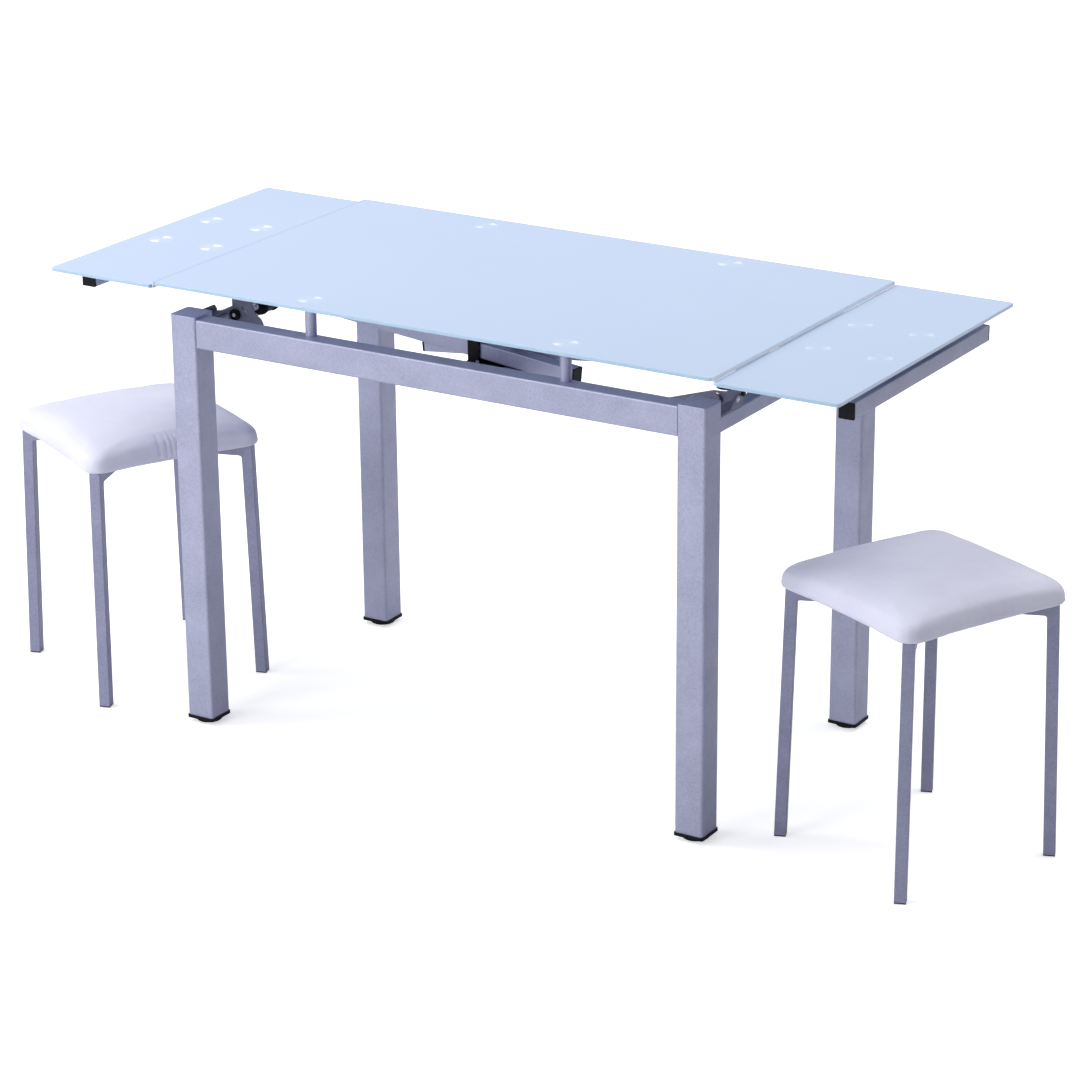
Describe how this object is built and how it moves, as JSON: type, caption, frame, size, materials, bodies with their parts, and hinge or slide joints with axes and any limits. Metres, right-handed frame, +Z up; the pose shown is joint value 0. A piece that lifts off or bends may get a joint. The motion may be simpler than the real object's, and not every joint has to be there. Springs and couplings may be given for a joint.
{
  "type": "extending dining table with stools",
  "caption": "Extending dining table with a frosted glass top and end leaves on a square-tube steel frame, with square padded stools on X-shaped frames.",
  "frame": {"origin": "on the floor under the middle of the set's footprint", "axes": "+X along the table's length towards the right-hand stool, +Y from front to rear, +Z up"},
  "size_m": [1.873, 0.6142, 0.75],
  "materials": {
    "coated_steel": "silver-grey powder coat",
    "zinc_steel": "bright zinc plate",
    "frosted_glass": "pale blue-white, printed underside, fine matt top",
    "black_plastic": "moulded, matt",
    "white_leather": "soft coated upholstery with a fine grain",
    "seat_board": "plain board"
  },
  "bodies": {
    "table_frame": {"leg_front_left": "coated_steel", "foot_plug_front_left": "black_plastic", "post_front_left": "coated_steel", "leg_front_right": "coated_steel", "foot_plug_front_right": "black_plastic", "post_front_right": "coated_steel", "rail_front": "coated_steel", "leg_rear_left": "coated_steel", "foot_plug_rear_left": "black_plastic", "post_rear_left": "coated_steel", "leg_rear_right": "coated_steel", "foot_plug_rear_right": "black_plastic", "post_rear_right": "coated_steel", "rail_rear": "coated_steel", "rail_left_end": "coated_steel", "rail_right_end": "coated_steel", "cross_channel": "coated_steel", "glass_centre": "frosted_glass", "guide_left_front": "black_plastic", "bracket_left_front": "coated_steel", "guide_left_rear": "black_plastic", "bracket_left_rear": "coated_steel", "guide_right_front": "black_plastic", "bracket_right_front": "coated_steel", "guide_right_rear": "black_plastic", "bracket_right_rear": "coated_steel"},
    "glide_front_left": {"glide_front_left": "black_plastic"},
    "glide_front_right": {"glide_front_right": "black_plastic"},
    "glide_rear_left": {"glide_rear_left": "black_plastic"},
    "glide_rear_right": {"glide_rear_right": "black_plastic"},
    "left_lift": {"shaft_left": "zinc_steel"},
    "left_leaf": {"glass_left_leaf": "frosted_glass", "end_bar_left": "coated_steel", "arm_left_front": "coated_steel", "arm_left_rear": "coated_steel", "arm_cap_left_front": "black_plastic", "arm_cap_left_rear": "black_plastic", "bar_cap_left_front": "black_plastic", "bar_cap_left_rear": "black_plastic"},
    "roller_left_front": {"roller_left_front": "black_plastic"},
    "roller_left_rear": {"roller_left_rear": "black_plastic"},
    "right_lift": {"shaft_right": "zinc_steel"},
    "right_leaf": {"glass_right_leaf": "frosted_glass", "end_bar_right": "coated_steel", "arm_right_front": "coated_steel", "arm_right_rear": "coated_steel", "arm_cap_right_front": "black_plastic", "arm_cap_right_rear": "black_plastic", "bar_cap_right_front": "black_plastic", "bar_cap_right_rear": "black_plastic"},
    "roller_right_front": {"roller_right_front": "black_plastic"},
    "roller_right_rear": {"roller_right_rear": "black_plastic"},
    "left_stool": {"stool_left_frame": "coated_steel", "stool_left_board": "seat_board", "stool_left_cushion": "white_leather"},
    "right_stool": {"stool_right_frame": "coated_steel", "stool_right_board": "seat_board", "stool_right_cushion": "white_leather"}
  },
  "joints": [
    {"name": "glide_front_left_level", "type": "slide", "parent": "table_frame", "child": "glide_front_left", "axis": [0, 0, 1], "range_m": [-0.008, 0]},
    {"name": "glide_front_right_level", "type": "slide", "parent": "table_frame", "child": "glide_front_right", "axis": [0, 0, 1], "range_m": [-0.008, 0]},
    {"name": "glide_rear_left_level", "type": "slide", "parent": "table_frame", "child": "glide_rear_left", "axis": [0, 0, 1], "range_m": [-0.008, 0]},
    {"name": "glide_rear_right_level", "type": "slide", "parent": "table_frame", "child": "glide_rear_right", "axis": [0, 0, 1], "range_m": [-0.008, 0]},
    {"name": "left_leaf_raise", "type": "slide", "parent": "table_frame", "child": "left_lift", "axis": [0, 0, 1], "range_m": [0, 0.0058]},
    {"name": "left_leaf_draw", "type": "slide", "parent": "left_lift", "child": "left_leaf", "axis": [0.9949, 0, -0.1006], "range_m": [0, 0.186]},
    {"name": "roller_left_front_spin", "type": "hinge", "parent": "left_lift", "child": "roller_left_front", "pos_m": [-0.46776, -0.07744, 0.673], "axis": [0, 1, 0], "continuous": true},
    {"name": "roller_left_rear_spin", "type": "hinge", "parent": "left_lift", "child": "roller_left_rear", "pos_m": [-0.46776, 0.06156, 0.673], "axis": [0, 1, 0], "continuous": true},
    {"name": "right_leaf_raise", "type": "slide", "parent": "table_frame", "child": "right_lift", "axis": [0, 0, 1], "range_m": [0, 0.0058]},
    {"name": "right_leaf_draw", "type": "slide", "parent": "right_lift", "child": "right_leaf", "axis": [-0.9949, 0, -0.1006], "range_m": [0, 0.186]},
    {"name": "roller_right_front_spin", "type": "hinge", "parent": "right_lift", "child": "roller_right_front", "pos_m": [0.41224, -0.04344, 0.673], "axis": [0, 1, 0], "continuous": true},
    {"name": "roller_right_rear_spin", "type": "hinge", "parent": "right_lift", "child": "roller_right_rear", "pos_m": [0.41224, 0.09556, 0.673], "axis": [0, 1, 0], "continuous": true},
    {"name": "left_stool_push", "type": "slide", "parent": "table_frame", "child": "left_stool", "axis": [-1, 0, 0], "range_m": [-0.08, 0.25]},
    {"name": "right_stool_push", "type": "slide", "parent": "table_frame", "child": "right_stool", "axis": [1, 0, 0], "range_m": [-0.08, 0.25]}
  ],
  "couplings": [
    {"joint": "roller_left_front_spin", "follows": "left_leaf_draw", "rad_per_m": 66.667},
    {"joint": "roller_left_rear_spin", "follows": "left_leaf_draw", "rad_per_m": 66.667},
    {"joint": "roller_right_front_spin", "follows": "right_leaf_draw", "rad_per_m": -66.667},
    {"joint": "roller_right_rear_spin", "follows": "right_leaf_draw", "rad_per_m": -66.667}
  ]
}
